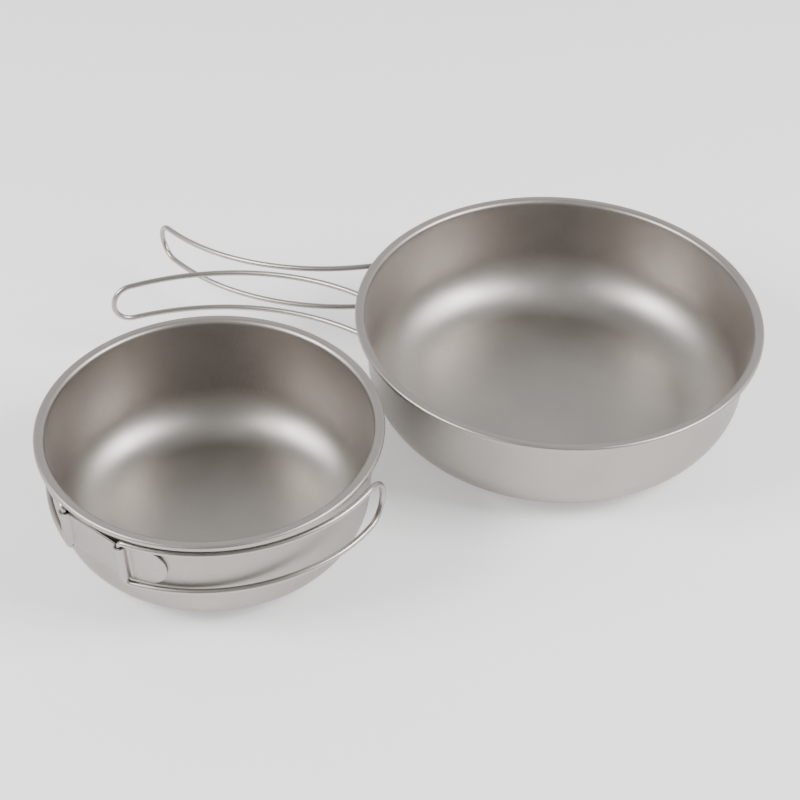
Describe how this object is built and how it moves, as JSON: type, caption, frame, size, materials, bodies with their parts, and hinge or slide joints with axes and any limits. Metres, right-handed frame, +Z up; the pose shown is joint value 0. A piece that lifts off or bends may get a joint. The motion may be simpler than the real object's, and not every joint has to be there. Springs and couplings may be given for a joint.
{
  "type": "cooking pot set",
  "caption": "Camping cookware set: a wide shallow pan and a smaller bowl of thin titanium sheet, each with folding wire handles hinged in a welded strap.",
  "frame": {"origin": "middle of the set's box at its base, on the surface it stands on", "axes": "+Z up out of the pan and the bowl; +X from the bowl towards the pan; +Y towards the pan's side of the set, away from the viewer"},
  "size_m": [0.3074, 0.2436, 0.054],
  "materials": {
    "vessel_titanium": "sandblasted titanium sheet, matt warm grey",
    "strap_titanium": "stamped titanium strip, satin warm grey",
    "wire_titanium": "drawn titanium wire, satin grey"
  },
  "bodies": {
    "pan": {"pan_body": "vessel_titanium", "pan_bracket": "strap_titanium"},
    "pan_rear_loop": {"pan_handle_rear": "wire_titanium"},
    "pan_front_loop": {"pan_handle_front": "wire_titanium"},
    "bowl": {"bowl_body": "vessel_titanium", "bowl_bracket": "strap_titanium"},
    "bowl_left_loop": {"bowl_handle_left": "wire_titanium"},
    "bowl_right_loop": {"bowl_handle_right": "wire_titanium"}
  },
  "joints": [
    {"name": "pan_rear_fold", "type": "hinge", "parent": "pan", "child": "pan_rear_loop", "pos_m": [-0.01591, 0.06907, 0.03469], "axis": [-0.0717, 0.022, 0.9972], "range_deg": [-125, 2.2]},
    {"name": "pan_front_fold", "type": "hinge", "parent": "pan", "child": "pan_front_loop", "pos_m": [-0.02311, 0.04569, 0.03469], "axis": [-0.0717, 0.022, 0.9972], "range_deg": [-2.2, 24]},
    {"name": "bowl_lift", "type": "slide", "parent": "pan", "child": "bowl", "axis": [0, 0, 1], "range_m": [0, 0.12]},
    {"name": "bowl_left_fold", "type": "hinge", "parent": "bowl", "child": "bowl_left_loop", "pos_m": [-0.13562, -0.09397, 0.03601], "axis": [-0.0338, -0.0433, 0.9985], "range_deg": [0, 139]},
    {"name": "bowl_right_fold", "type": "hinge", "parent": "bowl", "child": "bowl_right_loop", "pos_m": [-0.1117, -0.11266, 0.03601], "axis": [-0.0338, -0.0433, 0.9985], "range_deg": [-139, 0]}
  ]
}
